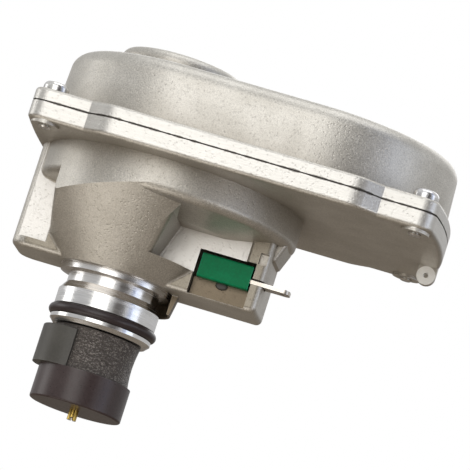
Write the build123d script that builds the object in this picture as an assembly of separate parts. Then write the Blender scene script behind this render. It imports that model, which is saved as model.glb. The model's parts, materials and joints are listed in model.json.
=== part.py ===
from build123d import *
import math
import os

# Plug-in quarter-turn valve actuator. Millimetres, +Z up, +X towards the motor end.
# The origin is on the output axis, at the underside of the gear housing where the spigot starts.

# ---- housing and cover plan ----
flange_left = -34.6
flange_right = 96.3
ear_half = 47.2            # front face of the four screw ears
waist_half = 51.3          # front face between the ears
waist_left = -9.3
waist_right = 71.0
ear_slope = 7.0            # length over which an ear steps out to the waist
end_bulge = 1.3            # how far the motor end bows out past its front ear
left_bulge = 1.8           # and how far the left end bows out past its ears
back_shift = 8.0           # the back ear at the motor end stands this far further in
ear_corner = 5.0
waist_round = 9.0          # corner radius where an ear meets the waist
cover_left_x = 8.1
cover_right_x = 51.3
cover_radius = 43.0
cover_draft = 3.0          # degrees
wall = 3.0

# ---- heights ----
parting_z = 39.6
housing_flange = 5.7
gasket_thick = 0.4
cover_flange = 4.0
cover_top_z = 64.5
dome_height = 6.9
dome_radius = 20.0
flange_round_low = 1.4     # lower edge of the housing flange
flange_round_top = 1.1     # upper edge of the cover flange
cover_round = 5.0
dome_round = 3.0
plate_z = parting_z - housing_flange

# ---- bowl, base block and cone of the gear housing ----
bowl_x = 9.0
bowl_radius = 41.8
bowl_floor_radius = 24.0
bowl_floor_z = 20.2
bowl_shoulder_z = 23.6
bowl_bend = 3.0            # radius of the two bends of the dished underside
bowl_inner_radius = 38.0
gear_floor_z = 24.0
block_left = -34.2
block_right = 46.5
block_half = 12.0
block_corner_left = 6.0
block_corner_right = 2.0
block_foot_round = 1.8
web_half = 10.4
cone_foot_radius = 20.0
cone_slope = 0.88          # radius gained per millimetre of height
cone_top_z = 27.0
cone_left_cut = -23.0
cone_foot_right = 11.5     # where the cut-off cone's right side meets the pocket floor
cone_mid_right = 16.0      # the same side at the bowl floor
cone_top_right = 22.0      # and inside the bowl
cone_side_round = 2.5
cone_root_round = 1.0
pocket_left = block_left + 1.6
pocket_right = 39.5
pocket_top_left = 26.0     # left end of the right pocket at the flange
pocket_floor_left = 3.2
pocket_floor_right = 7.4
post_round = 0.7           # edge of the right post beside its pocket
gusset_foot_z = 16.8       # flare between the post's right side and the bowl
gusset_knee_z = 18.2
gusset_top_z = 23.6
gusset_knee_out = 0.9
gusset_out = 2.9
gusset_half = 8.5
gusset_round = 1.2
web_round = 0.6
window_left = 24.1
window_right = 42.7
window_floor = 0.6
window_top = 15.3
window_depth = 9.5
recess_left = 42.9
recess_right = 45.6
recess_top = 19.0

# ---- cover screws, four ears ----
screw_left_x = -29.0
screw_right_x = 90.2
screw_y = 42.2
screw_radius = 2.0
head_radius = 4.1
head_height = 2.9
thread_depth = 1.6         # how far a screw tip stands below the housing flange

# ---- lead-seal eyelet under the motor end ----
lug_x = 91.3
lug_y = 14.0
lug_radius = 3.0
lug_thick = 3.0
lug_hole_radius = 0.8

# ---- half collar of the housing behind the spigot ----
collar_inner = 18.8
collar_outer = 20.9
collar_drop = 6.5

# ---- spigot and its seal ----
pilot_radius = 17.8
pilot_length = 2.0
shoulder_radius = 18.2     # the ring over the pilot, let into the housing
shoulder_depth = 2.0
neck_radius = 14.7
neck_end_z = -5.5
flare_end_z = -8.0
barrel_radius = 16.4
barrel_end_z = -18.8
oring_z = -14.7
oring_section = 1.65
oring_outer = 17.55
tail_radius = 11.5
tail_length = 9.0

# ---- output shaft ----
shaft_radius = 5.0
shaft_top_z = 66.5
bush_wall = 1.6
bush_length = 10.0
bush_collar = 1.8          # how far the lower bush's collar stands out
bush_collar_thick = 1.5
shaft_socket = 3.0         # how deep the shaft goes into the drum
running_gap = 0.04
seal_height = 4.0
free_gap = 0.35

# ---- gear train ----
gear_module = 1.0
output_teeth = 54
pinion_teeth = 16
wheel_module = 0.8
wheel_teeth = 60
motor_teeth = 15
pressure_angle = 20.0
tooth_thinning = 0.12
output_gear_z = 26.0
output_gear_face = 8.0
wheel_face = 4.0
axle_radius = 2.5

# ---- motor and its bracket ----
motor_radius = 17.5
motor_height = 12.0
motor_shaft_radius = 1.5
bracket_thick = 2.0
post_radius = 4.0
bracket_screw_radius = 1.5

# ---- coupling under the spigot ----
core_radius = 13.9
core_waist = 13.3
waist_rise = 2.0           # the waist is this far above the middle of the core
core_top_z = -19.2
drum_top_z = -32.6
drum_radius = 14.85
drum_bottom_z = -43.5
pad_radius = 17.4
pad_top_z = -20.3
pad_start = 146.0          # degrees from +X
pad_end = 251.0
pad_offset = 5.5           # from the axis to the middle of the pad's rounded side
drive_pin_radius = 1.5
drive_pin_tip_z = -46.8
pin_shank_radius = 1.2
pin_shank_length = 6.0

# ---- release latch ----
guide_left = 25.4
guide_right = 42.0
guide_bottom = 6.6
guide_top = 14.3
guide_front = -11.4
guide_back = -3.2
foot_inset = 3.2           # the foot's front stands behind the guide's
blade_z = 9.6
blade_thick = 1.2
blade_width = 6.3
blade_y = -7.2
blade_tip_x = 54.8
blade_hole_radius = 0.8    # hole near the blade's tip
blade_hole_inset = 2.4
blade_tail_x = 37.0
latch_travel = 5.0
spring_radius = 1.1
spring_wire = 0.35

# ---- control board ----
board_gap = 3.5            # from the bracket's top up to the board
board_thick = 1.6
board_radius = 36.5
board_right = 44.5
standoff_radius = 2.2

# worked out from the values above
gasket_top_z = parting_z + gasket_thick
cover_inner_radius = cover_radius - wall
cover_height = cover_top_z - gasket_top_z
idler_x = gear_module * (output_teeth + pinion_teeth) / 2
motor_x = idler_x + wheel_module * (wheel_teeth + motor_teeth) / 2
wheel_z = gasket_top_z + 1.6
bracket_z = wheel_z + wheel_face + 1.4
motor_z = bracket_z + bracket_thick
board_z = motor_z + board_gap
board_top_z = board_z + board_thick
magnet_radius = shaft_radius + 3.2
bush_radius = shaft_radius + running_gap + bush_wall
bore_radius = bush_radius
screw_spots = [(screw_left_x, -screw_y), (screw_left_x, screw_y),
               (screw_right_x, -screw_y), (screw_right_x - back_shift, screw_y)]
post_spots = [(idler_x + 5, -33.0), (idler_x + 5, 33.0), (motor_x + 15.5, -18.5), (motor_x + 15.5, 18.5)]
board_spots = [(-16.0, -27.0), (-16.0, 27.0), (idler_x - 2.5, -30.5), (idler_x - 2.5, 30.5)]


def disc(radius, x, y, z0, z1):
    """Upright cylinder from z0 to z1."""
    return Pos(x, y, z0) * Cylinder(radius, z1 - z0, align=(Align.CENTER, Align.CENTER, Align.MIN))


def slab(x0, x1, y0, y1, z0, z1):
    """Box between two corners."""
    box = Box(x1 - x0, y1 - y0, z1 - z0, align=(Align.MIN, Align.MIN, Align.MIN))
    return Pos(x0, y0, z0) * box


def turned(points, x=0.0, y=0.0):
    """Solid of revolution about the upright axis through x, y, from (radius, z) points."""
    outline = Plane.XZ * make_face(Polyline(*points, close=True))
    return Pos(x, y, 0) * revolve(outline, Axis.Z)


def mirrored(shape):
    """The shape together with its mirror image across the XZ plane."""
    return shape + mirror(shape, Plane.XZ)


def flange_plan():
    """Plan of both flanges: four ears, a wider waist and two bowed ends."""
    front_end = flange_right - end_bulge
    back_end = front_end - back_shift
    front = [
        (flange_left, -ear_half),
        (waist_left - ear_slope, -ear_half),
        (waist_left, -waist_half),
        (waist_right, -waist_half),
        (waist_right + ear_slope, -ear_half),
        (front_end, -ear_half),
    ]
    back = [(x - back_shift if x > 0 else x, -y) for x, y in reversed(front)]
    motor_bow = ThreePointArc(front[-1], (flange_right, 0), back[0])
    left_bow = ThreePointArc(back[-1], (flange_left - left_bulge, 0), front[0])
    outline = make_face(Polyline(*front) + motor_bow + Polyline(*back) + left_bow)
    corners = [v for v in outline.vertices() if abs(abs(v.Y) - ear_half) < 0.01
               and (v.X < flange_left + 0.1 or v.X > back_end - 0.1)]
    outline = fillet(corners, ear_corner)
    steps = [v for v in outline.vertices() if abs(abs(v.Y) - waist_half) < 0.01]
    return fillet(steps, waist_round)


def stadium(radius):
    """Plan of the cover: two half circles joined by straight sides."""
    length = cover_right_x - cover_left_x + 2 * radius
    return Pos((cover_left_x + cover_right_x) / 2, 0) * SlotOverall(length, 2 * radius)


def bowl_body(radius, floor_radius, floor_z, shoulder_z, top_z):
    """Round bowl with a dished underside."""
    profile = make_face(Polyline((0, floor_z), (floor_radius, floor_z), (radius, shoulder_z),
                                 (radius, top_z), (0, top_z), close=True))
    bends = [v for v in profile.vertices() if v.X > floor_radius - 0.1 and v.Y < shoulder_z + 0.1]
    profile = fillet(bends, bowl_bend)
    return Pos(bowl_x, 0, 0) * revolve(Plane.XZ * profile, Axis.Z)


def base_block():
    """Upright block behind the cone, with rounded corners and a rounded foot."""
    plan = Pos((block_left + block_right) / 2, 0) * Rectangle(block_right - block_left, 2 * block_half)
    plan = fillet(plan.vertices().filter_by(lambda v: v.X < 0), block_corner_left)
    plan = fillet([v for v in plan.vertices() if v.X > block_right - 0.1], block_corner_right)
    body = extrude(plan, plate_z + 1)
    return fillet(body.faces().sort_by(Axis.Z)[0].edges(), block_foot_round)


def cone_body():
    """Cone about the output axis, cut off beside the two web pockets."""
    top_radius = cone_foot_radius + cone_slope * cone_top_z
    flank = [(0, 0), (cone_foot_radius, 0), (top_radius, cone_top_z), (0, cone_top_z)]
    body = turned(flank) & disc(bowl_radius, bowl_x, 0, -1, cone_top_z + 1)
    reach = cone_foot_radius + cone_slope * pocket_floor_right
    keep = make_face(Polyline(
        (cone_left_cut, -1), (reach, -1), (reach, pocket_floor_right), (cone_foot_right, pocket_floor_right),
        (cone_mid_right, bowl_floor_z), (cone_top_right, cone_top_z + 1),
        (cone_left_cut, cone_top_z + 1), close=True))
    return body & extrude(Plane.XZ * keep, 60, both=True)


def web_pockets():
    """Recesses in the front and back of the base block, each down to the web."""
    depth = 60.0
    left = slab(pocket_left, cone_left_cut, -depth, -web_half, pocket_floor_left, plate_z)
    right_face = make_face(Polyline(
        (cone_foot_right, pocket_floor_right), (pocket_right, pocket_floor_right), (pocket_right, plate_z),
        (pocket_top_left, plate_z), (cone_mid_right, bowl_floor_z), close=True))
    right = Pos(0, -web_half, 0) * extrude(Plane.XZ * right_face, depth - web_half)
    return mirrored(left + right)


def edges_where(shape, test):
    """Edges whose middle point passes the test."""
    return [e for e in shape.edges() if test(e, e @ 0.5)]


def lower_body():
    """Outside of the casting under the flange, with its cast edges rounded."""
    body = base_block() + cone_body() - web_pockets()
    body += bowl_body(bowl_radius, bowl_floor_radius, bowl_floor_z, bowl_shoulder_z, plate_z + 1)
    cone_sides = edges_where(body, lambda e, c: e.geom_type == GeomType.HYPERBOLA
                             and abs(c.Y) > block_half + 3 and e.length > 15
                             and pocket_floor_right < c.Z < bowl_floor_z)
    body = fillet(cone_sides, cone_side_round)
    cone_roots = edges_where(body, lambda e, c: e.geom_type == GeomType.HYPERBOLA
                             and abs(abs(c.Y) - block_half) < 0.01 and c.Z < pocket_floor_right)
    body = fillet(cone_roots, cone_root_round)
    post_fronts = edges_where(body, lambda e, c: e.geom_type == GeomType.LINE
                              and abs(abs(c.Y) - block_half) < 0.01 and abs(c.X - pocket_right) < 0.01)
    body = fillet(post_fronts, post_round)
    web_corners = edges_where(body, lambda e, c: e.geom_type == GeomType.LINE
                              and abs(abs(c.Y) - web_half) < 0.01 and abs((e % 0.5).Z) > 0.5)
    return fillet(web_corners, web_round)


def gear_housing():
    """Lower casting: flange plate, bowl, cone, block, posts, bores and the latch window."""
    plate = extrude(Pos(0, 0, plate_z) * flange_plan(), housing_flange)
    plate = fillet(plate.faces().sort_by(Axis.Z)[0].edges(), flange_round_low)
    shell = plate + lower_body()
    shell += post_gusset() + seal_lug() + half_collar()
    hollow = disc(bowl_inner_radius, bowl_x, 0, gear_floor_z, parting_z + 1)
    shell -= fillet(hollow.faces().sort_by(Axis.Z)[0].edges(), 1.5)
    shell += disc(axle_radius + 3.0, idler_x, 0, bowl_floor_z, output_gear_z - 1.0)
    bowl_room = disc(bowl_inner_radius + 1, bowl_x, 0, 0, parting_z)
    for x, y in board_spots[:2]:
        shell += disc(standoff_radius + 0.6, x, y, gear_floor_z, parting_z) & bowl_room
    for x, y in post_spots:
        shell += disc(post_radius, x, y, parting_z - 1, bracket_z)
        shell -= disc(bracket_screw_radius, x, y, bracket_z - 7, bracket_z)
    for x, y in board_spots[2:]:
        shell += disc(standoff_radius + 0.6, x, y, parting_z - 1, gasket_top_z)
    for x, y in screw_spots:
        shell += disc(head_radius + 0.4, x, y, plate_z - 0.8, plate_z + 1)
        shell -= disc(screw_radius, x, y, plate_z - 1, parting_z)
    shell -= disc(tail_radius, 0, 0, -1, tail_length)
    shell -= disc(shoulder_radius, 0, 0, -1, shoulder_depth)
    shell -= disc(bore_radius, 0, 0, -1, gear_floor_z)
    shell -= disc(bush_radius + bush_collar, 0, 0, gear_floor_z - bush_collar_thick, gear_floor_z)
    shell -= disc(axle_radius, idler_x, 0, bowl_floor_z + 1.5, output_gear_z)
    shell -= latch_window()
    return shell


def post_gusset():
    """Flare between the right side of the block and the bowl."""
    face = make_face(Polyline(
        (block_right - 1, gusset_foot_z), (block_right + gusset_knee_out, gusset_knee_z),
        (block_right + gusset_out, gusset_top_z), (block_right + gusset_out, gusset_top_z + 3),
        (block_right - 1, gusset_top_z + 3), close=True))
    flare = extrude(Plane.XZ * face, gusset_half, both=True)
    sides = edges_where(flare, lambda e, c: abs(abs(c.Y) - gusset_half) < 0.01
                        and c.X > block_right - 1 and c.Z < gusset_top_z + 2)
    return fillet(sides, gusset_round)


def half_collar():
    """Tapered locating collar round the back half of the spigot."""
    ring = turned([(collar_inner, 1), (collar_outer, 1), (collar_outer - 0.4, -1),
                   (collar_outer - 1.3, -collar_drop), (collar_inner, -collar_drop)])
    return ring & slab(-10, 30, -2, 30, -collar_drop - 1, 2)


def seal_lug():
    """Round eyelet under the motor end for a lead-seal wire."""
    centre = Pos(lug_x, lug_y, plate_z - lug_radius) * Rot(90, 0, 0)
    eye = centre * Cylinder(lug_radius, lug_thick)
    root = slab(lug_x - lug_radius, lug_x + lug_radius, lug_y - lug_thick / 2, lug_y + lug_thick / 2,
                plate_z - lug_radius, plate_z + 1)
    return eye + root - centre * Cylinder(lug_hole_radius, lug_thick + 1)


def latch_window():
    """Pocket for the release guide, the blade slot in the right post and the small recess above it."""
    window = slab(window_left, window_right, -block_half - 1, -block_half + window_depth,
                  window_floor, window_top)
    slot = slab(window_right - 1, block_right + 1, -block_half - 1, blade_y + blade_width / 2 + free_gap,
                blade_z - blade_thick / 2 - free_gap, blade_z + blade_thick / 2 + free_gap)
    recess = slab(recess_left, recess_right, -block_half - 1, -block_half + 1.2, window_top, recess_top)
    return window + slot + recess


def spigot():
    """Turned aluminium spigot, pressed into the housing by its tail."""
    groove = oring_outer - 2 * oring_section
    upper = oring_z + oring_section + 0.1
    lower = oring_z - oring_section - 0.1
    profile = [
        (bore_radius, tail_length), (tail_radius, tail_length), (tail_radius, shoulder_depth),
        (shoulder_radius, shoulder_depth), (shoulder_radius, 0), (pilot_radius, 0),
        (pilot_radius, -pilot_length), (neck_radius, -pilot_length - 0.4), (neck_radius, neck_end_z),
        (barrel_radius, flare_end_z), (barrel_radius, upper), (groove, upper), (groove, lower),
        (barrel_radius, lower), (barrel_radius, barrel_end_z + 1.2), (barrel_radius - 1.2, barrel_end_z),
        (bore_radius, barrel_end_z),
    ]
    return turned(profile)


def spigot_oring():
    """Rubber ring in the spigot's groove."""
    return Pos(0, 0, oring_z) * Torus(oring_outer - oring_section, oring_section)


def output_lower_bush():
    """Lower shaft bearing, with its collar in the bowl floor."""
    seat = gear_floor_z - bush_collar_thick
    bush = disc(bush_radius, 0, 0, seat - bush_length, seat)
    bush += disc(bush_radius + bush_collar, 0, 0, seat, gear_floor_z)
    return bush - disc(shaft_radius + running_gap, 0, 0, seat - bush_length - 1, gear_floor_z + 1)


def spigot_bush():
    """Plain bearing inside the spigot."""
    return disc(bush_radius, 0, 0, -12.0, -2.0) - disc(shaft_radius + running_gap, 0, 0, -13.0, -1.0)


def shaft_seal():
    """Lip seal at the spigot's mouth, its lip just clear of the shaft."""
    seal = disc(bush_radius, 0, 0, barrel_end_z + 0.6, barrel_end_z + 0.6 + seal_height)
    seal -= disc(shaft_radius + running_gap, 0, 0, barrel_end_z, barrel_end_z + 6)
    trough = turned([(shaft_radius + 0.5, barrel_end_z), (bush_radius - 0.5, barrel_end_z),
                     (bush_radius - 0.6, barrel_end_z + 2.6), (shaft_radius + 0.8, barrel_end_z + 2.6)])
    return seal - trough


def cover_gasket():
    """Thin gasket between the two flanges, open over the cover's inside."""
    sheet = extrude(Pos(0, 0, parting_z) * offset(flange_plan(), -0.5), gasket_thick)
    sheet -= extrude(Pos(0, 0, parting_z - 1) * stadium(cover_inner_radius), 5)
    for x, y in screw_spots:
        sheet -= disc(screw_radius + 0.3, x, y, parting_z - 1, gasket_top_z + 1)
    return sheet


def drafted(radius, z0, height):
    """Tapered stadium block."""
    return extrude(Pos(0, 0, z0) * stadium(radius), height, taper=cover_draft)


def cover():
    """Upper casting: flange, drafted hollow body and the round boss over the output."""
    flange = extrude(Pos(0, 0, gasket_top_z) * flange_plan(), cover_flange)
    flange = fillet(flange.faces().sort_by(Axis.Z)[-1].edges(), flange_round_top)
    body = drafted(cover_radius, gasket_top_z, cover_height)
    body = fillet(body.faces().sort_by(Axis.Z)[-1].edges(), cover_round)
    boss = disc(dome_radius, 0, 0, cover_top_z - 6, cover_top_z + dome_height)
    boss = fillet(boss.faces().sort_by(Axis.Z)[-1].edges(), dome_round)
    shell = flange + body + boss
    shell -= drafted(cover_inner_radius, gasket_top_z - 0.01, cover_height - wall)
    shell -= disc(bush_radius, 0, 0, cover_top_z - 10, cover_top_z + dome_height - wall)
    for x, y in screw_spots:
        shell -= disc(screw_radius + 0.3, x, y, gasket_top_z - 1, gasket_top_z + cover_flange + 1)
        shell -= disc(head_radius + 0.5, x, y, gasket_top_z + cover_flange, gasket_top_z + cover_flange + 12)
    return shell


def cover_bush():
    """Upper shaft bearing, pressed into the cover's round boss."""
    low = cover_top_z - wall
    high = low + 6.5
    return disc(bush_radius, 0, 0, low, high) - disc(shaft_radius + running_gap, 0, 0, low - 1, high + 1)


def pan_screw(x, y, seat_z, length, radius, head_r, head_h):
    """Pan head screw with a cross recess."""
    head = disc(head_r, x, y, seat_z, seat_z + head_h)
    head = fillet(head.faces().sort_by(Axis.Z)[-1].edges(), head_h * 0.62)
    top = seat_z + head_h
    arm = head_r * 0.62
    cross = slab(x - arm, x + arm, y - 0.45, y + 0.45, top - head_h * 0.5, top + 1)
    cross += slab(x - 0.45, x + 0.45, y - arm, y + arm, top - head_h * 0.5, top + 1)
    shank = disc(radius, x, y, seat_z - length, seat_z)
    tip = shank.faces().sort_by(Axis.Z)[0].edges()
    return chamfer(tip, 0.4) + (head - cross)


def cover_screws():
    """Four screws that clamp the cover, gasket and housing."""
    seat = gasket_top_z + cover_flange
    length = seat - plate_z + thread_depth
    screws = [pan_screw(x, y, seat, length, screw_radius, head_radius, head_height) for x, y in screw_spots]
    return Compound(children=screws)


def bracket_screws():
    """Four screws that hold the motor bracket on its posts."""
    screws = [pan_screw(x, y, bracket_z + bracket_thick, 8.0, bracket_screw_radius, 2.8, 2.0)
              for x, y in post_spots]
    return Compound(children=screws)


def motor_bracket():
    """Flat plate that carries the motor and the top of the idler axle."""
    plan = make_hull([e for x, y in post_spots for e in (Pos(x, y) * Circle(post_radius)).edges()]
                     + list((Pos(idler_x, 0) * Circle(7.0)).edges()))
    plate = extrude(Pos(0, 0, bracket_z) * plan, bracket_thick)
    for x, y in post_spots:
        plate -= disc(bracket_screw_radius + 0.2, x, y, bracket_z - 1, motor_z + 1)
    plate -= disc(axle_radius, idler_x, 0, bracket_z - 1, motor_z + 1)
    plate -= disc(5.0, motor_x, 0, bracket_z - 1, motor_z + 1)
    return plate


def motor_can():
    """Motor body with its front boss in the bracket and a bore for the shaft."""
    body = disc(motor_radius, motor_x, 0, motor_z, motor_z + motor_height)
    body = fillet(body.faces().sort_by(Axis.Z)[-1].edges(), 1.5)
    body += disc(4.9, motor_x, 0, bracket_z + 0.2, motor_z + 1)
    bore = disc(motor_shaft_radius + running_gap, motor_x, 0, bracket_z - 1, motor_z + motor_height - 2)
    return body - bore


def tooth_shape(module, teeth):
    """One involute tooth, drawn pointing along +X, with its root inside the blank."""
    pitch = module * teeth / 2
    base = pitch * math.cos(math.radians(pressure_angle))
    tip = pitch + 0.9 * module
    root = pitch - 1.25 * module
    half = (math.pi * module / 2 - tooth_thinning) / 2 / pitch
    alpha = math.radians(pressure_angle)
    pitch_roll = math.tan(alpha) - alpha
    start = max(base, root)
    flank = []
    steps = 5
    for i in range(steps + 1):
        radius = start + (tip - start) * i / steps
        pressure = math.acos(min(1.0, base / radius))
        angle = half + pitch_roll - (math.tan(pressure) - pressure)
        flank.append((radius * math.cos(angle), radius * math.sin(angle)))
    foot_angle = math.atan2(flank[0][1], flank[0][0])
    foot = (root * 0.97 * math.cos(foot_angle), root * 0.97 * math.sin(foot_angle))
    upper = [foot] + flank
    lower = [(x, -y) for x, y in reversed(upper)]
    return make_face(Polyline(*upper, *lower, close=True))


def gear_blank(module, teeth, turn):
    """Plan of a toothed wheel. turn is the angle of its first tooth, in degrees."""
    root = module * teeth / 2 - 1.25 * module
    tooth = tooth_shape(module, teeth)
    plan = Circle(root)
    plan += [Rot(0, 0, turn + 360 * i / teeth) * tooth for i in range(teeth)]
    return plan


def output_gear():
    """Large gear on the output shaft, webbed, with a keyway."""
    plan = gear_blank(gear_module, output_teeth, 0)
    gear = extrude(Pos(0, 0, output_gear_z) * plan, output_gear_face)
    web = disc(21.5, 0, 0, output_gear_z + 5.5, 50) - disc(10.0, 0, 0, output_gear_z, 50)
    gear -= web
    gear -= disc(shaft_radius, 0, 0, output_gear_z - 1, 50)
    return gear - gear_key()


def gear_key():
    """Square key between the output gear and its shaft."""
    top = output_gear_z + output_gear_face
    return slab(shaft_radius - 1.2, shaft_radius + 1.4, -1.5, 1.5, output_gear_z, top)


def output_shaft():
    """Stepped output shaft from the coupling up to the cover bush."""
    shaft = disc(shaft_radius, 0, 0, drum_top_z - shaft_socket, shaft_top_z)
    shaft = chamfer(shaft.faces().sort_by(Axis.Z)[-1].edges(), 0.6)
    shaft -= disc(shaft_radius + 1, 0, 0, clip_z(), clip_z() + 1.0) - disc(shaft_radius - 0.6, 0, 0, 0, 60)
    return shaft - gear_key()


def clip_z():
    """Height of the retaining ring's groove, just over the output gear."""
    return output_gear_z + output_gear_face + 0.2


def retaining_ring():
    """Open ring in the shaft groove, over the output gear."""
    ring = disc(shaft_radius + 1.5, 0, 0, clip_z(), clip_z() + 1.0)
    ring -= disc(shaft_radius - 0.6, 0, 0, clip_z() - 1, clip_z() + 2)
    return ring - slab(-10, 0, -1.6, 1.6, clip_z() - 1, clip_z() + 2)


def coupling_core():
    """Waisted coupling body fixed on the shaft, with a grained grip band."""
    profile = make_face(
        Line((shaft_radius, core_top_z), (core_radius, core_top_z))
        + ThreePointArc((core_radius, core_top_z), (core_waist, (core_top_z + drum_top_z) / 2 + waist_rise),
                        (core_radius, drum_top_z))
        + Polyline((core_radius, drum_top_z), (shaft_radius, drum_top_z), (shaft_radius, core_top_z)))
    body = revolve(Plane.XZ * profile, Axis.Z)
    seat = disc(pad_radius, 0, 0, drum_top_z - 1, pad_top_z)
    seat -= disc(core_radius - 2.0, 0, 0, drum_top_z - 2, pad_top_z + 1)
    return body - (seat & pad_wedge(drum_top_z - 1, pad_top_z))


def pad_wedge(bottom, top):
    """Upright wedge between the pad's two angles."""
    reach = 60.0
    spots = [(0, 0)]
    for i in range(5):
        angle = math.radians(pad_start + (pad_end - pad_start) * i / 4)
        spots.append((reach * math.cos(angle), reach * math.sin(angle)))
    return extrude(Pos(0, 0, bottom) * make_face(Polyline(*spots, close=True)), top - bottom)


def coupling_pad():
    """Smooth key segment whose rounded side stands proud of the coupling body and runs out into it."""
    middle = math.radians((pad_start + pad_end) / 2)
    x = pad_offset * math.cos(middle)
    y = pad_offset * math.sin(middle)
    pad = disc(pad_radius - pad_offset, x, y, drum_top_z, pad_top_z) & pad_wedge(drum_top_z, pad_top_z)
    pad -= disc(core_radius - 2.0, 0, 0, drum_top_z - 1, pad_top_z + 1)
    return fillet(pad.faces().sort_by(Axis.Z)[-1].edges().sort_by(Edge.length)[-1:], 0.5)


def coupling_drum():
    """Smooth drum at the end of the coupling."""
    drum = disc(drum_radius, 0, 0, drum_bottom_z, drum_top_z)
    drum = fillet(drum.faces().sort_by(Axis.Z)[0].edges(), 0.6)
    drum -= disc(shaft_radius, 0, 0, drum_top_z - shaft_socket, drum_top_z + 1)
    return drum - disc(pin_shank_radius, 0, 0, drum_bottom_z - 1, drum_bottom_z + pin_shank_length)


def drive_pin():
    """Small brass pin on the axis, slotted across its tip, with a thinner shank in the drum."""
    pin = disc(drive_pin_radius, 0, 0, drive_pin_tip_z, drum_bottom_z)
    pin += disc(pin_shank_radius, 0, 0, drum_bottom_z, drum_bottom_z + pin_shank_length)
    slot = slab(-0.3, 0.3, -3, 3, drive_pin_tip_z - 1, drive_pin_tip_z + 0.9)
    return pin - slot


def sensor_magnet():
    """Ring magnet on the output shaft, read by the position sensor."""
    ring = disc(magnet_radius, 0, 0, board_top_z + 1.4, board_top_z + 4.4)
    return ring - disc(shaft_radius, 0, 0, board_z, board_z + 12)


def idler_pinion():
    """Small idler gear with a hub up to the idler wheel."""
    turn = 180 + 180 / pinion_teeth
    gear = extrude(Pos(0, 0, output_gear_z + 0.5) * gear_blank(gear_module, pinion_teeth, turn),
                   output_gear_face + 1.0)
    gear += disc(6.0, 0, 0, output_gear_z + output_gear_face + 1.0, wheel_z)
    gear -= disc(axle_radius + running_gap, 0, 0, output_gear_z - 1, wheel_z + 1)
    return Pos(idler_x, 0, 0) * gear


def idler_wheel():
    """Large idler wheel with six lightening holes."""
    gear = extrude(Pos(0, 0, wheel_z) * gear_blank(wheel_module, wheel_teeth, 0), wheel_face)
    for i in range(6):
        angle = math.radians(30 + 60 * i)
        x, y = 14.5 * math.cos(angle), 14.5 * math.sin(angle)
        gear -= disc(3.6, x, y, wheel_z - 1, wheel_z + wheel_face + 1)
    gear -= disc(axle_radius + running_gap, 0, 0, wheel_z - 1, wheel_z + wheel_face + 1)
    return Pos(idler_x, 0, 0) * gear


def idler_axle():
    """Fixed pin that the idler turns on, held in the housing and the bracket."""
    return disc(axle_radius, idler_x, 0, bowl_floor_z + 1.5, motor_z)


def idler_washers():
    """Thrust washers under the idler pinion and over the idler wheel."""
    low = output_gear_z - 0.9
    high = wheel_z + wheel_face + 0.3
    washers = []
    for z in (low, high):
        washer = disc(5.0, idler_x, 0, z, z + 0.8) - disc(axle_radius + 0.1, idler_x, 0, z - 1, z + 2)
        washers.append(washer)
    return Compound(children=washers)


def motor_pinion():
    """Pinion pressed on the motor shaft."""
    turn = 180 + 180 / motor_teeth
    gear = extrude(Pos(0, 0, wheel_z - 0.4) * gear_blank(wheel_module, motor_teeth, turn), wheel_face + 0.8)
    gear -= disc(motor_shaft_radius, 0, 0, wheel_z - 1, wheel_z + wheel_face + 2)
    return Pos(motor_x, 0, 0) * gear


def motor_shaft():
    """Motor shaft from the pinion up into the can."""
    return disc(motor_shaft_radius, motor_x, 0, wheel_z - 0.4, motor_z + motor_height - 2.4)


def release_guide():
    """Green guide block of the manual release, with a slot for the blade and a bore for its spring."""
    body = slab(guide_left, guide_right, guide_front, guide_back, guide_bottom, guide_top)
    body = fillet(body.edges().filter_by(Axis.X), 0.6)
    gap = free_gap
    across = blade_width / 2 + gap
    height = blade_thick / 2 + gap
    slot = slab(blade_tail_x - latch_travel - gap, guide_right + 1, blade_y - across, blade_y + across,
                blade_z - height, blade_z + height)
    bore_length = blade_tail_x - guide_left - 1.2
    bore = Pos(blade_tail_x - bore_length / 2, blade_y, blade_z) * Rot(0, 90, 0) * Cylinder(
        spring_radius + spring_wire + gap, bore_length)
    return body - slot - bore


def guide_foot():
    """Cast foot that carries the guide block on the window floor."""
    return slab(window_left + free_gap, window_right - free_gap, guide_front + foot_inset, guide_back,
                window_floor, guide_bottom)


def release_blade():
    """Flat steel blade with a rounded tip that pushes into the guide."""
    plan = Pos((blade_tail_x + blade_tip_x) / 2, blade_y) * Rectangle(blade_tip_x - blade_tail_x, blade_width)
    plan = fillet([v for v in plan.vertices() if v.X > blade_tip_x - 0.1], 1.8)
    plan -= Pos(blade_tip_x - blade_hole_inset, blade_y) * Circle(blade_hole_radius)
    return extrude(Pos(0, 0, blade_z - blade_thick / 2) * plan, blade_thick)


def release_spring():
    """Compression spring between the guide's blind end and the blade's tail."""
    start = guide_left + 1.2 + spring_wire
    length = blade_tail_x - start - spring_wire
    coil = Helix(length / 6.0, length, spring_radius)
    wire = Plane(origin=coil @ 0, z_dir=coil % 0) * Circle(spring_wire)
    return Pos(start, blade_y, blade_z) * Rot(0, 90, 0) * sweep(wire, path=coil, is_frenet=True)


def control_board():
    """Circuit board with a clear hole for the output shaft."""
    plan = Pos(cover_left_x, 0) * Circle(board_radius)
    plan &= Pos(board_right - 50, 0) * Rectangle(100, 80)
    board = extrude(Pos(0, 0, board_z) * plan, board_thick)
    board -= disc(shaft_radius + 5.0, 0, 0, board_z - 1, board_z + 5)
    for x, y in board_spots:
        board -= disc(bracket_screw_radius + 0.1, x, y, board_z - 1, board_z + 5)
    return board


def board_standoffs():
    """Four threaded standoffs under the board."""
    posts = []
    for x, y in board_spots:
        foot = parting_z if x < 0 else gasket_top_z
        post = disc(standoff_radius, x, y, foot, board_z)
        posts.append(post - disc(bracket_screw_radius, x, y, board_z - 6, board_z))
    return Compound(children=posts)


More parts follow.
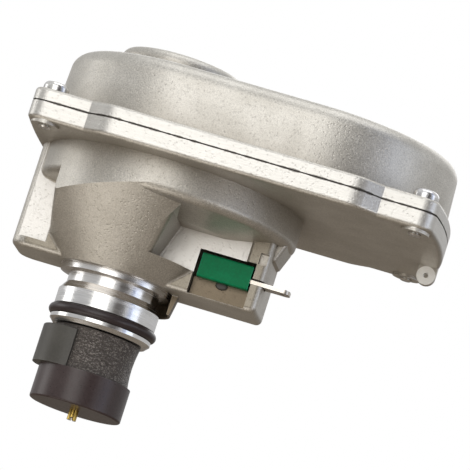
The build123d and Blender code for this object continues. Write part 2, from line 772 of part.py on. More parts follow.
def board_screws():
    """Four screws that hold the board on its standoffs."""
    screws = [pan_screw(x, y, board_top_z, 5.5, bracket_screw_radius, 2.6, 1.8) for x, y in board_spots]
    return Compound(children=screws)


def terminal_block():
    """Screw terminal block for the supply and control leads."""
    top = board_top_z
    block = slab(10, 34, 12, 21, top, top + 6.2)
    for i in range(5):
        block -= disc(1.6, 12.4 + 4.8 * i, 15.0, top + 3.0, top + 9)
        block -= slab(11.0 + 4.8 * i, 13.8 + 4.8 * i, 18.5, 22, top + 1.0, top + 4.0)
    return block


def board_capacitors():
    """Two upright capacitors."""
    top = board_top_z
    cans = []
    for y in (-14.0, -23.5):
        can = disc(4.0, 20, y, top, top + 6.0)
        cans.append(fillet(can.faces().sort_by(Axis.Z)[-1].edges(), 0.5))
    return Compound(children=cans)


def board_chips():
    """Three flat integrated circuits."""
    spots = [(-14, -12, 9, 6), (32, -12, 7, 10), (-10, 16, 8, 6)]
    chips = [slab(x - a / 2, x + a / 2, y - b / 2, y + b / 2, board_top_z, board_top_z + 1.6)
             for x, y, a, b in spots]
    return Compound(children=chips)


def position_sensor():
    """Sensor chip beside the shaft magnet."""
    near = -magnet_radius - 3.2
    return slab(near - 5.1, near, -2.5, 2.5, board_top_z, board_top_z + 4.0)


makers = [
    gear_housing, spigot, spigot_oring, output_lower_bush, spigot_bush, shaft_seal, cover_gasket, cover,
    cover_bush, cover_screws, motor_bracket, bracket_screws, motor_can, idler_axle, idler_washers,
    release_guide, guide_foot, control_board, board_standoffs, board_screws, terminal_block,
    board_capacitors, board_chips, position_sensor,
    output_shaft, output_gear, gear_key, retaining_ring, coupling_core, coupling_pad, coupling_drum,
    drive_pin, sensor_magnet,
    idler_pinion, idler_wheel, motor_shaft, motor_pinion, release_blade, release_spring,
]

os.makedirs("parts", exist_ok=True)
for maker in makers:
    export_step(maker(), "parts/" + maker.__name__ + ".step")
    print(maker.__name__)
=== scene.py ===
import json
import math

import bmesh
import bpy
from mathutils import Matrix, Vector


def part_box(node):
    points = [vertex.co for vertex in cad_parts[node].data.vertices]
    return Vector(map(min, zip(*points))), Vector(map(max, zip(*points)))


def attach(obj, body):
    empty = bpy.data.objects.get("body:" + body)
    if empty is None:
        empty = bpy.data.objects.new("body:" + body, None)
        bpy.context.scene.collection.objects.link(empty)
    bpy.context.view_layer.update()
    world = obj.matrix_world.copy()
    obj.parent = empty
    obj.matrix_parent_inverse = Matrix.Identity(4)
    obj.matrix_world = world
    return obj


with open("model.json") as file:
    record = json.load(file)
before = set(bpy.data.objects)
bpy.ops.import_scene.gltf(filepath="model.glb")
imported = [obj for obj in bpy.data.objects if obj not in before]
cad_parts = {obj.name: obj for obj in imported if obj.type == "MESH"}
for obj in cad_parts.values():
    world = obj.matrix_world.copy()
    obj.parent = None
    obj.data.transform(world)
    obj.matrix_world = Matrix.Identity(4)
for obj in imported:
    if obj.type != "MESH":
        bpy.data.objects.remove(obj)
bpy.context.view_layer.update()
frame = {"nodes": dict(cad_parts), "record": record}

nodes = frame["nodes"]


def freshTree(name):
    material = bpy.data.materials.new(name)
    material.use_nodes = True
    tree = material.node_tree
    tree.nodes.clear()
    end = tree.nodes.new("ShaderNodeOutputMaterial")
    skin = tree.nodes.new("ShaderNodeBsdfPrincipled")
    tree.links.new(skin.outputs["BSDF"], end.inputs["Surface"])
    return material, tree, skin


def feed(tree, socket, value):
    # a socket takes either another node's output or a plain value
    if isinstance(value, bpy.types.NodeSocket):
        tree.links.new(value, socket)
    elif isinstance(value, tuple) and len(value) == 3 and socket.type == "RGBA":
        socket.default_value = (*value, 1.0)
    else:
        socket.default_value = value


def sums(tree, kind, first, second=0.0, clamp=False):
    node = tree.nodes.new("ShaderNodeMath")
    node.operation = kind
    node.use_clamp = clamp
    feed(tree, node.inputs[0], first)
    feed(tree, node.inputs[1], second)
    return node.outputs[0]


def product(tree, first, *others):
    for other in others:
        first = sums(tree, "MULTIPLY", first, other)
    return first


def spread(tree, value, low, high, start=0.0, end=1.0, smooth=False):
    node = tree.nodes.new("ShaderNodeMapRange")
    if smooth:
        node.interpolation_type = "SMOOTHSTEP"
    for socket, number in zip(node.inputs, (value, low, high, start, end)):
        feed(tree, socket, number)
    return node.outputs[0]


def within(tree, value, low, high, soft):
    # 1 between low and high, fading over soft at either end
    rise = spread(tree, value, low - soft, low)
    fall = spread(tree, value, high, high + soft, 1.0, 0.0)
    return product(tree, rise, fall)


def blendColours(tree, share, first, second, how="MIX"):
    node = tree.nodes.new("ShaderNodeMix")
    node.data_type = "RGBA"
    node.blend_type = how
    feed(tree, node.inputs[0], share)
    feed(tree, node.inputs[6], first)
    feed(tree, node.inputs[7], second)
    return node.outputs[2]


def objectPlace(tree, stretch=(1.0, 1.0, 1.0)):
    where = tree.nodes.new("ShaderNodeTexCoord").outputs["Object"]
    if stretch == (1.0, 1.0, 1.0):
        return where
    mapping = tree.nodes.new("ShaderNodeMapping")
    mapping.inputs["Scale"].default_value = stretch
    tree.links.new(where, mapping.inputs["Vector"])
    return mapping.outputs[0]


def axesOf(tree, vector):
    node = tree.nodes.new("ShaderNodeSeparateXYZ")
    tree.links.new(vector, node.inputs[0])
    return node.outputs


def cloud(tree, where, scale, detail=3.0, roughness=0.55):
    node = tree.nodes.new("ShaderNodeTexNoise")
    tree.links.new(where, node.inputs["Vector"])
    node.inputs["Scale"].default_value = scale
    node.inputs["Detail"].default_value = detail
    node.inputs["Roughness"].default_value = roughness
    return node.outputs[0]


def relief(tree, skin, layers):
    # layers are (height, depth in metres); each one is laid over the one before
    under = None
    for height, depth in layers:
        node = tree.nodes.new("ShaderNodeBump")
        node.inputs["Distance"].default_value = depth
        feed(tree, node.inputs["Height"], height)
        if under is not None:
            tree.links.new(under, node.inputs["Normal"])
        under = node.outputs[0]
    tree.links.new(under, skin.inputs["Normal"])


# what every finish shares: broad mottling, fine speckle, worn edges in patches (on the green plastic these
# light edges are a painted highlight), painted shade in hollows
surface = dict(mottleScale=90.0, mottleDetail=4.0, mottleBand=(0.35, 0.65), mottleDepth=1.5,
               fineDetail=2.0, cloudRough=0.6, speckBand=(0.3, 0.7), roughBand=(0.25, 0.75),
               patchScale=700.0, patchBand=(0.3, 0.6), edgeBand=(0.985, 0.86), edgeSamples=4,
               hollowSamples=6, gloss=0.5, coatRough=0.12)


def wornAndHighlitEdges(tree, width):
    # 1 on outer and inner edges, 0 on flats
    soft = tree.nodes.new("ShaderNodeBevel")
    soft.samples = surface["edgeSamples"]
    soft.inputs["Radius"].default_value = width
    flat = tree.nodes.new("ShaderNodeNewGeometry")
    dot = tree.nodes.new("ShaderNodeVectorMath")
    dot.operation = "DOT_PRODUCT"
    tree.links.new(soft.outputs[0], dot.inputs[0])
    tree.links.new(flat.outputs["Normal"], dot.inputs[1])
    return spread(tree, dot.outputs["Value"], *surface["edgeBand"])


def hollows(tree, reach):
    # 1 deep in corners and pockets, 0 in the open; it sets where painted shade darkens the colour
    node = tree.nodes.new("ShaderNodeAmbientOcclusion")
    node.samples = surface["hollowSamples"]
    node.inputs["Distance"].default_value = reach
    return sums(tree, "SUBTRACT", 1.0, node.outputs["AO"], clamp=True)


# colour and second are the two tones, tone is how far the fine grain lightens and darkens them,
# grain is its size in metres, depth its height, stretch its drawing out along X, Y and Z
# the darkest colour of each finish is painted shade for corners and pockets; its reach and share set how far
# and how strongly
finishes = {
    "castAluminium": dict(colour=(0.56, 0.54, 0.495), second=(0.64, 0.62, 0.575), metal=0.9, rough=0.43,
                          roughSpread=0.14, tone=0.22, grain=0.00040, depth=0.000038, wearAndHighlight=(0.80, 0.79, 0.76),
                          wearAndHighlightWidth=0.0004, paintedShade=(0.20, 0.165, 0.12), paintedShadeReach=0.012, paintedShadeShare=0.85),
    "turnedAluminium": dict(colour=(0.80, 0.80, 0.81), second=(0.86, 0.86, 0.85), metal=1.0, rough=0.16,
                            roughSpread=0.10, tone=0.08, grain=0.0004, depth=0.000003,
                            stretch=(0.05, 0.05, 1.0), wearAndHighlight=(0.93, 0.93, 0.93), wearAndHighlightWidth=0.0003,
                            paintedShade=(0.34, 0.27, 0.18), paintedShadeReach=0.004, paintedShadeShare=0.5),
    "blackRubber": dict(colour=(0.030, 0.021, 0.023), second=(0.042, 0.031, 0.033), metal=0.0, rough=0.34,
                        roughSpread=0.12, tone=0.25, grain=0.0003, depth=0.000012, wearAndHighlight=(0.07, 0.06, 0.06),
                        wearAndHighlightWidth=0.0003, paintedShade=(0.012, 0.009, 0.009), paintedShadeReach=0.003, paintedShadeShare=0.6),
    "sinteredBronze": dict(colour=(0.52, 0.33, 0.15), second=(0.60, 0.41, 0.20), metal=1.0, rough=0.38,
                           roughSpread=0.15, tone=0.2, grain=0.0003, depth=0.00001, wearAndHighlight=(0.78, 0.58, 0.32),
                           wearAndHighlightWidth=0.0003, paintedShade=(0.16, 0.09, 0.04), paintedShadeReach=0.003, paintedShadeShare=0.6),
    "gasketSheet": dict(colour=(0.045, 0.038, 0.032), second=(0.075, 0.064, 0.054), metal=0.0, rough=0.62,
                        roughSpread=0.2, tone=0.35, grain=0.0005, depth=0.00003, wearAndHighlight=(0.10, 0.09, 0.08),
                        wearAndHighlightWidth=0.0002, paintedShade=(0.02, 0.017, 0.014), paintedShadeReach=0.003, paintedShadeShare=0.5),
    "zincPlate": dict(colour=(0.72, 0.72, 0.74), second=(0.80, 0.79, 0.76), metal=1.0, rough=0.20,
                      roughSpread=0.14, tone=0.12, grain=0.0005, depth=0.000006, wearAndHighlight=(0.92, 0.92, 0.92),
                      wearAndHighlightWidth=0.0003, paintedShade=(0.10, 0.09, 0.08), paintedShadeReach=0.0025, paintedShadeShare=0.9),
    "drawnSteel": dict(colour=(0.50, 0.51, 0.53), second=(0.58, 0.58, 0.58), metal=1.0, rough=0.30,
                       roughSpread=0.16, tone=0.14, grain=0.0005, depth=0.000006, stretch=(1.0, 1.0, 0.08),
                       wearAndHighlight=(0.75, 0.75, 0.76), wearAndHighlightWidth=0.0004, paintedShade=(0.16, 0.14, 0.12),
                       paintedShadeReach=0.004, paintedShadeShare=0.5),
    "cutSteel": dict(colour=(0.46, 0.46, 0.48), second=(0.56, 0.55, 0.54), metal=1.0, rough=0.30,
                     roughSpread=0.2, tone=0.16, grain=0.0006, depth=0.000008, stretch=(0.25, 1.0, 1.0),
                     wearAndHighlight=(0.78, 0.78, 0.79), wearAndHighlightWidth=0.00025, paintedShade=(0.12, 0.09, 0.06),
                     paintedShadeReach=0.003, paintedShadeShare=0.6),
    "bladeSteel": dict(colour=(0.60, 0.56, 0.50), second=(0.70, 0.66, 0.60), metal=1.0, rough=0.27,
                       roughSpread=0.15, tone=0.18, grain=0.0005, depth=0.00001, stretch=(0.12, 1.0, 1.0),
                       wearAndHighlight=(0.95, 0.94, 0.90), wearAndHighlightWidth=0.00035, paintedShade=(0.26, 0.20, 0.14),
                       paintedShadeReach=0.003, paintedShadeShare=0.4),
    # the green plastic's light mint edge colour is a painted highlight along its edges
    "greenPlastic": dict(colour=(0.001, 0.195, 0.072), second=(0.002, 0.235, 0.092), metal=0.0, rough=0.34,
                         roughSpread=0.12, tone=0.12, grain=0.0007, depth=0.00001, wearAndHighlight=(0.03, 0.42, 0.24),
                         wearAndHighlightWidth=0.0005, paintedShade=(0.001, 0.07, 0.035), paintedShadeReach=0.004, paintedShadeShare=0.5,
                         gloss=0.10),
    "darkPlastic": dict(colour=(0.062, 0.059, 0.052), second=(0.078, 0.075, 0.066), metal=0.0, rough=0.46,
                        roughSpread=0.12, tone=0.12, grain=0.0005, depth=0.000012, wearAndHighlight=(0.13, 0.125, 0.115),
                        wearAndHighlightWidth=0.0004, paintedShade=(0.03, 0.026, 0.022), paintedShadeReach=0.004, paintedShadeShare=0.5),
    "grainedPlastic": dict(colour=(0.055, 0.046, 0.041), second=(0.075, 0.064, 0.057), metal=0.0, rough=0.33,
                           roughSpread=0.15, tone=0.35, grain=0.0004, depth=0.00002, wearAndHighlight=(0.14, 0.12, 0.11),
                           wearAndHighlightWidth=0.0004, paintedShade=(0.025, 0.02, 0.018), paintedShadeReach=0.003, paintedShadeShare=0.5),
    "drumPlastic": dict(colour=(0.042, 0.027, 0.027), second=(0.053, 0.036, 0.036), metal=0.0, rough=0.32,
                        roughSpread=0.12, tone=0.14, grain=0.0006, depth=0.00001, wearAndHighlight=(0.12, 0.105, 0.10),
                        wearAndHighlightWidth=0.0005, paintedShade=(0.02, 0.016, 0.015), paintedShadeReach=0.003, paintedShadeShare=0.4),
    "boardLaminate": dict(colour=(0.010, 0.085, 0.035), second=(0.014, 0.11, 0.048), metal=0.0, rough=0.26,
                          roughSpread=0.12, tone=0.15, grain=0.0008, depth=0.000006, wearAndHighlight=(0.30, 0.28, 0.16),
                          wearAndHighlightWidth=0.0002, paintedShade=(0.006, 0.045, 0.02), paintedShadeReach=0.003, paintedShadeShare=0.4,
                          coat=0.3),
    "cutBrass": dict(colour=(0.55, 0.37, 0.08), second=(0.66, 0.47, 0.13), metal=1.0, rough=0.24,
                     roughSpread=0.15, tone=0.15, grain=0.0004, depth=0.000006, stretch=(1.0, 1.0, 0.2),
                     wearAndHighlight=(0.90, 0.72, 0.30), wearAndHighlightWidth=0.0002, paintedShade=(0.20, 0.12, 0.02),
                     paintedShadeReach=0.002, paintedShadeShare=0.6),
}


def baseFinish(name):
    # the layers that every finish has; the special ones build on what comes back
    look = finishes[name]
    material, tree, skin = freshTree(name)
    detail, rough = surface["fineDetail"], surface["cloudRough"]
    drawnOut = objectPlace(tree, look.get("stretch", (1.0, 1.0, 1.0)))
    fine = cloud(tree, drawnOut, 1.0 / look["grain"], detail, rough)
    broad = cloud(tree, objectPlace(tree), surface["mottleScale"], surface["mottleDetail"], rough)
    colour = blendColours(tree, spread(tree, broad, *surface["mottleBand"]), look["colour"], look["second"])
    speck = spread(tree, fine, *surface["speckBand"], 1.0 - look["tone"], 1.0 + look["tone"])
    colour = blendColours(tree, 1.0, colour, speck, "MULTIPLY")
    patches = cloud(tree, objectPlace(tree), surface["patchScale"], detail)
    patches = spread(tree, patches, *surface["patchBand"])
    # on most finishes this lightens worn edges; on the green plastic it is a painted highlight
    wornAndHighlit = product(tree, wornAndHighlitEdges(tree, look["wearAndHighlightWidth"]), patches)
    colour = blendColours(tree, wornAndHighlit, colour, look["wearAndHighlight"])
    # painted shade: hollows darken towards the finish's shade colour
    shade = product(tree, hollows(tree, look["paintedShadeReach"]), look["paintedShadeShare"])
    half = look["roughSpread"] / 2
    roughness = spread(tree, fine, *surface["roughBand"], look["rough"] - half, look["rough"] + half)
    skin.inputs["Metallic"].default_value = look["metal"]
    skin.inputs["Specular IOR Level"].default_value = look.get("gloss", surface["gloss"])
    if "coat" in look:
        skin.inputs["Coat Weight"].default_value = look["coat"]
        skin.inputs["Coat Roughness"].default_value = surface["coatRough"]
    return dict(look=look, material=material, tree=tree, skin=skin, fine=fine, broad=broad, colour=colour,
                shade=shade, roughness=roughness)


def closeFinish(build, layers=()):
    tree, skin, look = build["tree"], build["skin"], build["look"]
    # painted shade laid into the colour in corners and pockets
    colour = blendColours(tree, build["shade"], build["colour"], look["paintedShade"])
    tree.links.new(colour, skin.inputs["Base Color"])
    tree.links.new(build["roughness"], skin.inputs["Roughness"])
    broad = (build["broad"], look["depth"] * surface["mottleDepth"])
    relief(tree, skin, [broad, (build["fine"], look["depth"]), *layers])
    return build["material"]


# heights, depths and places in metres; a band is (from, to)
castLook = dict(
    steep=(0.25, 0.45), squareOn=(0.93, 0.985), soft=0.0002,
    milledBelow=0.0054, milledAbove=0.0037, milledSoft=0.0003, milledShare=0.8, milledRough=-0.06,
    milledColour=(0.72, 0.71, 0.68), streak=0.10, streakBand=(0.35, 0.65), streakStretch=(60.0, 60.0, 2600.0),
    webDepth=0.0104, paintedLightWebColour=(0.76, 0.745, 0.715), webShade=0.25,
    postShadeDepth=(0.0118, 0.0123), postShadeTop=(0.022, 0.030), postShadeColour=(0.50, 0.47, 0.42),
    collar=(-0.0100, -0.0004), footReach=0.0004, footTop=(0.007, 0.009), footShadeAndCollarColour=(0.30, 0.25, 0.19),
    seamHalf=0.00022, seamWander=0.0004, seamBand=(0.42, 0.75), seamStretch=(260.0, 260.0, 40.0),
    seamDetail=4.0, seamRough=0.65, seamSoft=(-0.00006, 0.00004), seamShare=0.75,
    seamColour=(0.07, 0.06, 0.05),
    eyelet=(0.0913, 0.0125, 0.0309), eyeletRadius=0.0029, eyeletShade=0.1, eyeletColour=(0.93, 0.93, 0.91),
    pit=0.0011, pitReach=0.35, pitDepth=0.00006)
gasketLow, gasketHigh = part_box("cover_gasket")
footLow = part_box("guide_foot")[0]


def milledFlange(tree, look, place, upright):
    # the machined rims of both flanges, drawn out in fine streaks
    band = within(tree, place[2], gasketLow.z - look["milledBelow"], gasketHigh.z + look["milledAbove"],
                  look["milledSoft"])
    streaks = cloud(tree, objectPlace(tree, look["streakStretch"]), 1.0, surface["fineDetail"],
                    surface["cloudRough"])
    tone = spread(tree, streaks, *look["streakBand"], 1.0 - look["streak"], 1.0)
    return product(tree, upright, band), blendColours(tree, 1.0, look["milledColour"], tone, "MULTIPLY")


def blockFaces(tree, look, place, frontOn):
    # the web plates' front faces painted pale as painted light, the front and back of the block darkened as
    # painted shade, and the foot darkened as painted shade of its recess, with the collar band darkened as
    # well
    depth = sums(tree, "ABSOLUTE", place[1])
    soft = look["soft"]
    # painted light: the front faces of the web plates
    paintedLightWeb = product(tree, frontOn, within(tree, depth, look["webDepth"] - soft, look["webDepth"] + soft, soft))
    # painted shade on the block's front and back faces, fading out upwards
    postShade = product(tree, within(tree, depth, *look["postShadeDepth"], soft),
                  spread(tree, place[2], *look["postShadeTop"], 1.0, 0.0), frontOn)
    reach = look["footReach"]
    # painted shade in the recess on the foot's face, fading out upwards
    foot = product(tree, within(tree, place[1], footLow.y - reach, footLow.y + reach, soft),
                   frontOn, spread(tree, place[2], *look["footTop"], 1.0, 0.0))
    collar = within(tree, place[2], *look["collar"], soft)
    return paintedLightWeb, postShade, sums(tree, "MAXIMUM", foot, collar)


def seamLine(tree, look, place, upright):
    # the dark joint between the castings, a little wider here and there
    wander = cloud(tree, objectPlace(tree, look["seamStretch"]), 1.0, look["seamDetail"], look["seamRough"])
    wander = spread(tree, wander, *look["seamBand"])
    half = sums(tree, "ADD", product(tree, wander, look["seamWander"]), look["seamHalf"])
    off = sums(tree, "ABSOLUTE", sums(tree, "SUBTRACT", place[2], (gasketLow.z + gasketHigh.z) / 2))
    line = spread(tree, sums(tree, "SUBTRACT", off, half), *look["seamSoft"], 1.0, 0.0)
    return product(tree, line, upright)


def eyeletDisc(tree, look):
    reach = tree.nodes.new("ShaderNodeVectorMath")
    reach.operation = "DISTANCE"
    tree.links.new(objectPlace(tree), reach.inputs[0])
    reach.inputs[1].default_value = look["eyelet"]
    edge = look["eyeletRadius"]
    return spread(tree, reach.outputs["Value"], edge, edge + look["soft"], 1.0, 0.0)


def castPits(tree, look):
    pits = tree.nodes.new("ShaderNodeTexVoronoi")
    pits.inputs["Scale"].default_value = 1.0 / look["pit"]
    tree.links.new(objectPlace(tree), pits.inputs["Vector"])
    return spread(tree, pits.outputs["Distance"], 0.0, look["pitReach"])


def castAluminium(look):
    build = baseFinish("castAluminium")
    tree = build["tree"]
    place = axesOf(tree, objectPlace(tree))
    facing = axesOf(tree, tree.nodes.new("ShaderNodeNewGeometry").outputs["Normal"])
    upright = spread(tree, sums(tree, "ABSOLUTE", facing[2]), *look["steep"], 1.0, 0.0)
    frontOn = spread(tree, sums(tree, "ABSOLUTE", facing[1]), *look["squareOn"])
    milled, milledColour = milledFlange(tree, look, place, upright)
    paintedLightWeb, postShade, footShadeAndCollar = blockFaces(tree, look, place, frontOn)
    seam = seamLine(tree, look, place, upright)
    eyelet = eyeletDisc(tree, look)
    colour = blendColours(tree, product(tree, milled, look["milledShare"]), build["colour"], milledColour)
    # painted light: the web plates' front faces turn pale
    colour = blendColours(tree, paintedLightWeb, colour, look["paintedLightWebColour"])
    # painted shade darkens the block's front and back faces
    colour = blendColours(tree, postShade, colour, look["postShadeColour"], "MULTIPLY")
    # painted shade on the foot; the collar band below the base is darkened the same way
    colour = blendColours(tree, footShadeAndCollar, colour, look["footShadeAndCollarColour"], "MULTIPLY")
    colour = blendColours(tree, product(tree, seam, look["seamShare"]), colour, look["seamColour"])
    build["colour"] = blendColours(tree, eyelet, colour, look["eyeletColour"])
    # less painted shade on the lit webs and the eyelet
    build["shade"] = product(tree, build["shade"], spread(tree, paintedLightWeb, 0.0, 1.0, 1.0, look["webShade"]),
                             spread(tree, eyelet, 0.0, 1.0, 1.0, look["eyeletShade"]))
    build["roughness"] = sums(tree, "ADD", build["roughness"], product(tree, milled, look["milledRough"]))
    return closeFinish(build, [(castPits(tree, look), look["pitDepth"])])


turnedLook = dict(ring=0.00022, ringDepth=0.000012, toolBand=0.0016, toolRough=0.14,
                  toolSpread=(0.4, 0.65), detail=1.0, cloudRough=0.5)


def turnedAluminium(look):
    # fine tool rings, and wider bands where the tool ran duller
    build = baseFinish("turnedAluminium")
    tree = build["tree"]
    rings, bands = [
        cloud(tree, objectPlace(tree, (0.0, 0.0, 1.0 / size)), 1.0, look["detail"], look["cloudRough"])
        for size in (look["ring"], look["toolBand"])]
    duller = spread(tree, bands, *look["toolSpread"], 0.0, look["toolRough"])
    build["roughness"] = sums(tree, "ADD", build["roughness"], duller)
    return closeFinish(build, [(rings, look["ringDepth"])])


grainLook = dict(lump=0.00075, lumpDepth=0.00045, flatten=1.7, detail=3.0, swirl=0.9, margin=0.0004,
                 crestHighlightBand=(0.53, 0.60), crestHighlightShare=0.7, crestHighlightColour=(0.36, 0.33, 0.305))


def grainedPlastic(look):
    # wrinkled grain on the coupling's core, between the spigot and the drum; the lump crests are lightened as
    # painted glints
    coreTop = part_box("coupling_core")[1].z
    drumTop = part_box("coupling_drum")[1].z
    build = baseFinish("grainedPlastic")
    tree = build["tree"]
    place = axesOf(tree, objectPlace(tree))
    flattened = objectPlace(tree, (1.0, 1.0, look["flatten"]))
    lumps = cloud(tree, flattened, 1.0 / look["lump"], look["detail"], surface["cloudRough"])
    lumps.node.inputs["Distortion"].default_value = look["swirl"]
    shown = within(tree, place[2], drumTop + look["margin"], coreTop - look["margin"], look["margin"])
    # painted glints: the crests of the lumps are lightened
    crestHighlight = product(tree, spread(tree, lumps, *look["crestHighlightBand"]), shown, look["crestHighlightShare"])
    build["colour"] = blendColours(tree, crestHighlight, build["colour"], look["crestHighlightColour"])
    return closeFinish(build, [(product(tree, lumps, shown), look["lumpDepth"])])


boardLook = dict(row=0.0021, rowsLong=5, trackShare=0.16, trackColour=(0.022, 0.16, 0.065),
                 trackDepth=0.00003)


def boardLaminate(look):
    # copper tracks under the green lacquer
    build = baseFinish("boardLaminate")
    tree = build["tree"]
    grid = tree.nodes.new("ShaderNodeTexBrick")
    grid.inputs["Scale"].default_value = 1.0
    grid.inputs["Brick Width"].default_value = look["row"] * look["rowsLong"]
    grid.inputs["Row Height"].default_value = look["row"]
    grid.inputs["Mortar Size"].default_value = look["row"] * look["trackShare"]
    for field in ("Color1", "Color2"):
        grid.inputs[field].default_value = (0.0, 0.0, 0.0, 1.0)
    grid.inputs["Mortar"].default_value = (1.0, 1.0, 1.0, 1.0)
    tree.links.new(objectPlace(tree), grid.inputs["Vector"])
    tracks = grid.outputs["Color"]
    build["colour"] = blendColours(tree, tracks, build["colour"], look["trackColour"])
    return closeFinish(build, [(tracks, look["trackDepth"])])


specials = {"castAluminium": (castAluminium, castLook), "turnedAluminium": (turnedAluminium, turnedLook),
            "grainedPlastic": (grainedPlastic, grainLook), "boardLaminate": (boardLaminate, boardLook)}
made = {}
for name in finishes:
    if name in specials:
        special, look = specials[name]
        made[name] = special(look)
    else:
        made[name] = closeFinish(baseFinish(name))
print("finishes:", len(made))

# which finish each of the record's material slots takes
slotFinish = {
    "cast_aluminium": "castAluminium", "turned_aluminium": "turnedAluminium", "black_rubber": "blackRubber",
    "bronze": "sinteredBronze", "gasket_sheet": "gasketSheet", "plated_screw": "zincPlate",
    "motor_steel": "drawnSteel", "gear_steel": "cutSteel", "blade_steel": "bladeSteel",
    "green_plastic": "greenPlastic", "dark_plastic": "darkPlastic", "grained_plastic": "grainedPlastic",
    "drum_plastic": "drumPlastic", "board_laminate": "boardLaminate", "brass": "cutBrass",
}
slotOf = {part["node"]: part["material_slot"] for part in frame["record"]["subparts"]}
for name, piece in nodes.items():
    for place in piece.material_slots:
        place.material = made[slotFinish[slotOf[name]]]
print("nodes painted")


# corners closer than merge are one; edges that turn more than sharp degrees stay crisp
meshing = dict(merge=1e-6, sharp=38)


def finishPiece(work, name, finish, body):
    bmesh.ops.remove_doubles(work, verts=work.verts, dist=meshing["merge"])
    bmesh.ops.recalc_face_normals(work, faces=work.faces)
    mesh = bpy.data.meshes.new(name)
    work.to_mesh(mesh)
    work.free()
    piece = bpy.data.objects.new(name, mesh)
    bpy.context.scene.collection.objects.link(piece)
    mesh.materials.append(made[finish])
    mesh.shade_smooth()
    mesh.set_sharp_from_angle(angle=math.radians(meshing["sharp"]))
    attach(piece, body)


footRivet = dict(radius=0.0020, height=0.0009, sides=40, bevel=0.0006, bevelSteps=4, x=0.0336, z=0.0059,
                 squash=0.62, sunk=0.0001)


def addFootRivet(look):
    # flat-domed rivet on the front of the foot, just under the green guide
    work = bmesh.new()
    bmesh.ops.create_cone(work, cap_ends=True, segments=look["sides"], radius1=look["radius"],
                          radius2=look["radius"], depth=look["height"])
    rim = [edge for edge in work.edges if all(corner.co.z > 0 for corner in edge.verts)]
    bmesh.ops.bevel(work, geom=rim, offset=look["bevel"], offset_type="OFFSET", segments=look["bevelSteps"],
                    profile=0.5, affect="EDGES", material=-1)
    bmesh.ops.rotate(work, verts=work.verts, matrix=Matrix.Rotation(math.radians(90), 3, "X"))
    bmesh.ops.scale(work, verts=work.verts, vec=(1.0, 1.0, look["squash"]))
    middle = footLow.y - look["height"] / 2 + look["sunk"]
    bmesh.ops.translate(work, verts=work.verts, vec=(look["x"], middle, look["z"]))
    finishPiece(work, "footRivet", "darkPlastic", "root")


addFootRivet(footRivet)
print("pieces: foot rivet")


# colours and the bands of height and bearing they fill; bearings in radians from the front
studio = dict(floorHeight=-0.35, floorSize=6.0, floorColour=(0.80, 0.79, 0.77), floorGlow=(0.24, 0.20, 0.155),
              floorRough=0.9, backdrop=(1.0, 1.0, 1.0), high=(1.0, 1.0, 1.0), low=(0.13, 0.10, 0.075),
              horizon=(-0.32, 0.34), strength=0.66, cardShare=0.85, cardSoft=0.12,
              darkColour=(0.07, 0.055, 0.045), darkCard=(0.42, 0.80),
              coolColour=(0.55, 0.65, 0.95), coolCard=(1.05, 1.30))


def addFloor(look):
    # pale to look at, but it throws a warm dark tone back up
    work = bmesh.new()
    bmesh.ops.create_grid(work, x_segments=1, y_segments=1, size=look["floorSize"] / 2)
    bmesh.ops.translate(work, verts=work.verts, vec=(0, 0, look["floorHeight"]))
    mesh = bpy.data.meshes.new("floor")
    work.to_mesh(mesh)
    work.free()
    floor = bpy.data.objects.new("floor", mesh)
    bpy.context.scene.collection.objects.link(floor)
    material, tree, skin = freshTree("floorPaint")
    seen = tree.nodes.new("ShaderNodeLightPath").outputs["Is Camera Ray"]
    paint = blendColours(tree, seen, look["floorGlow"], look["floorColour"])
    tree.links.new(paint, skin.inputs["Base Color"])
    skin.inputs["Roughness"].default_value = look["floorRough"]
    mesh.materials.append(material)


def addWorld(look):
    # a white backdrop, and for reflections a room that is bright above and brown below
    world = bpy.data.worlds.new("studio")
    bpy.context.scene.world = world
    world.use_nodes = True
    tree = world.node_tree
    tree.nodes.clear()
    end = tree.nodes.new("ShaderNodeOutputWorld")
    around = axesOf(tree, tree.nodes.new("ShaderNodeTexCoord").outputs["Generated"])
    height = spread(tree, around[2], *look["horizon"], smooth=True)
    room = blendColours(tree, height, look["low"], look["high"])
    bearing = sums(tree, "ARCTAN2", around[0], product(tree, around[1], -1.0))
    for tone in ("dark", "cool"):
        card = within(tree, bearing, *look[tone + "Card"], look["cardSoft"])
        room = blendColours(tree, product(tree, card, look["cardShare"]), room, look[tone + "Colour"])
    paint = tree.nodes.new("ShaderNodeBackground")
    tree.links.new(room, paint.inputs["Color"])
    paint.inputs["Strength"].default_value = look["strength"]
    plain = tree.nodes.new("ShaderNodeBackground")
    plain.inputs["Color"].default_value = (*look["backdrop"], 1.0)
    either = tree.nodes.new("ShaderNodeMixShader")
    tree.links.new(tree.nodes.new("ShaderNodeLightPath").outputs["Is Camera Ray"], either.inputs[0])
    tree.links.new(paint.outputs[0], either.inputs[1])
    tree.links.new(plain.outputs[0], either.inputs[2])
    tree.links.new(either.outputs[0], end.inputs["Surface"])


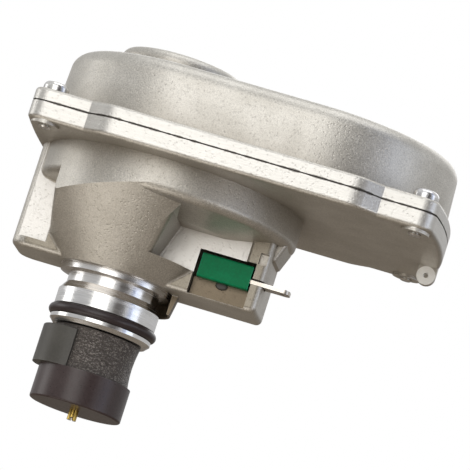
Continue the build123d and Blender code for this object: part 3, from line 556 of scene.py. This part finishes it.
# place in metres, size across and up, power in watts
lamps = {
    "frontCard": dict(at=(-0.20, -1.20, 0.42), size=(0.85, 0.80), power=3.3, colour=(1.0, 0.985, 0.96)),
    "frontLow": dict(at=(-0.28, -1.20, -0.12), size=(0.50, 0.28), power=1.15, colour=(1.0, 0.97, 0.92)),
    "rightLow": dict(at=(0.80, -0.62, -0.14), size=(0.34, 0.30), power=0.75, colour=(0.97, 0.97, 1.0)),
    "floorCard": dict(at=(-0.09, -0.16, -0.33), size=(0.40, 0.34), power=0.55, colour=(1.0, 0.955, 0.89)),
    "leftCard": dict(at=(-1.00, 0.05, 0.08), size=(0.45, 0.50), power=1.1, colour=(1.0, 0.99, 0.97)),
    "topCard": dict(at=(0.05, -0.15, 0.95), size=(0.90, 0.70), power=2.2, colour=(1.0, 1.0, 1.0)),
    "rightFill": dict(at=(0.95, -0.25, 0.25), size=(0.35, 0.60), power=0.6, colour=(0.84, 0.90, 1.0)),
    "backCard": dict(at=(0.1, 1.0, 0.6), size=(0.9, 0.6), power=2.0, colour=(1.0, 1.0, 1.0)),
}
# aim, distance and farthest in metres, roll in degrees, lens and sensor in millimetres
camera = dict(aim=(0.030475, 0.006911, 0.025223), forward=(-0.1445, 0.976, 0.1625),
              right=(0.989, 0.146, 0.0), distance=1.647, roll=17.72, lens=400.6, sensor=36.0, farthest=50.0)
aimPoint = Vector(camera["aim"])


def addLamp(name, look):
    light = bpy.data.lights.new(name, "AREA")
    light.shape = "RECTANGLE"
    light.size, light.size_y = look["size"]
    light.energy = look["power"]
    light.color = look["colour"]
    lamp = bpy.data.objects.new(name, light)
    bpy.context.scene.collection.objects.link(lamp)
    lamp.location = look["at"]
    lamp.rotation_euler = (aimPoint - lamp.location).to_track_quat("-Z", "Y").to_euler()


addFloor(studio)
addWorld(studio)
for name, look in lamps.items():
    addLamp(name, look)
print("studio lit:", len(lamps), "lamps")


def addCamera(look):
    # forward and right give the level view, then the whole frame rolls
    forward = Vector(look["forward"]).normalized()
    right = Vector(look["right"])
    right = (right - forward * right.dot(forward)).normalized()
    up = right.cross(forward)
    turn = math.radians(look["roll"])
    across = right * math.cos(turn) + up * math.sin(turn)
    over = up * math.cos(turn) - right * math.sin(turn)
    lens = bpy.data.cameras.new("camera")
    lens.sensor_width = look["sensor"]
    lens.lens = look["lens"]
    lens.clip_end = look["farthest"]
    view = bpy.data.objects.new("camera", lens)
    bpy.context.scene.collection.objects.link(view)
    spot = aimPoint - forward * look["distance"]
    view.matrix_world = Matrix((
        (across.x, over.x, -forward.x, spot.x),
        (across.y, over.y, -forward.y, spot.y),
        (across.z, over.z, -forward.z, spot.z),
        (0.0, 0.0, 0.0, 1.0)))
    bpy.context.scene.camera = view


addCamera(camera)
bpy.context.scene.view_settings.view_transform = "Standard"
print("camera placed")
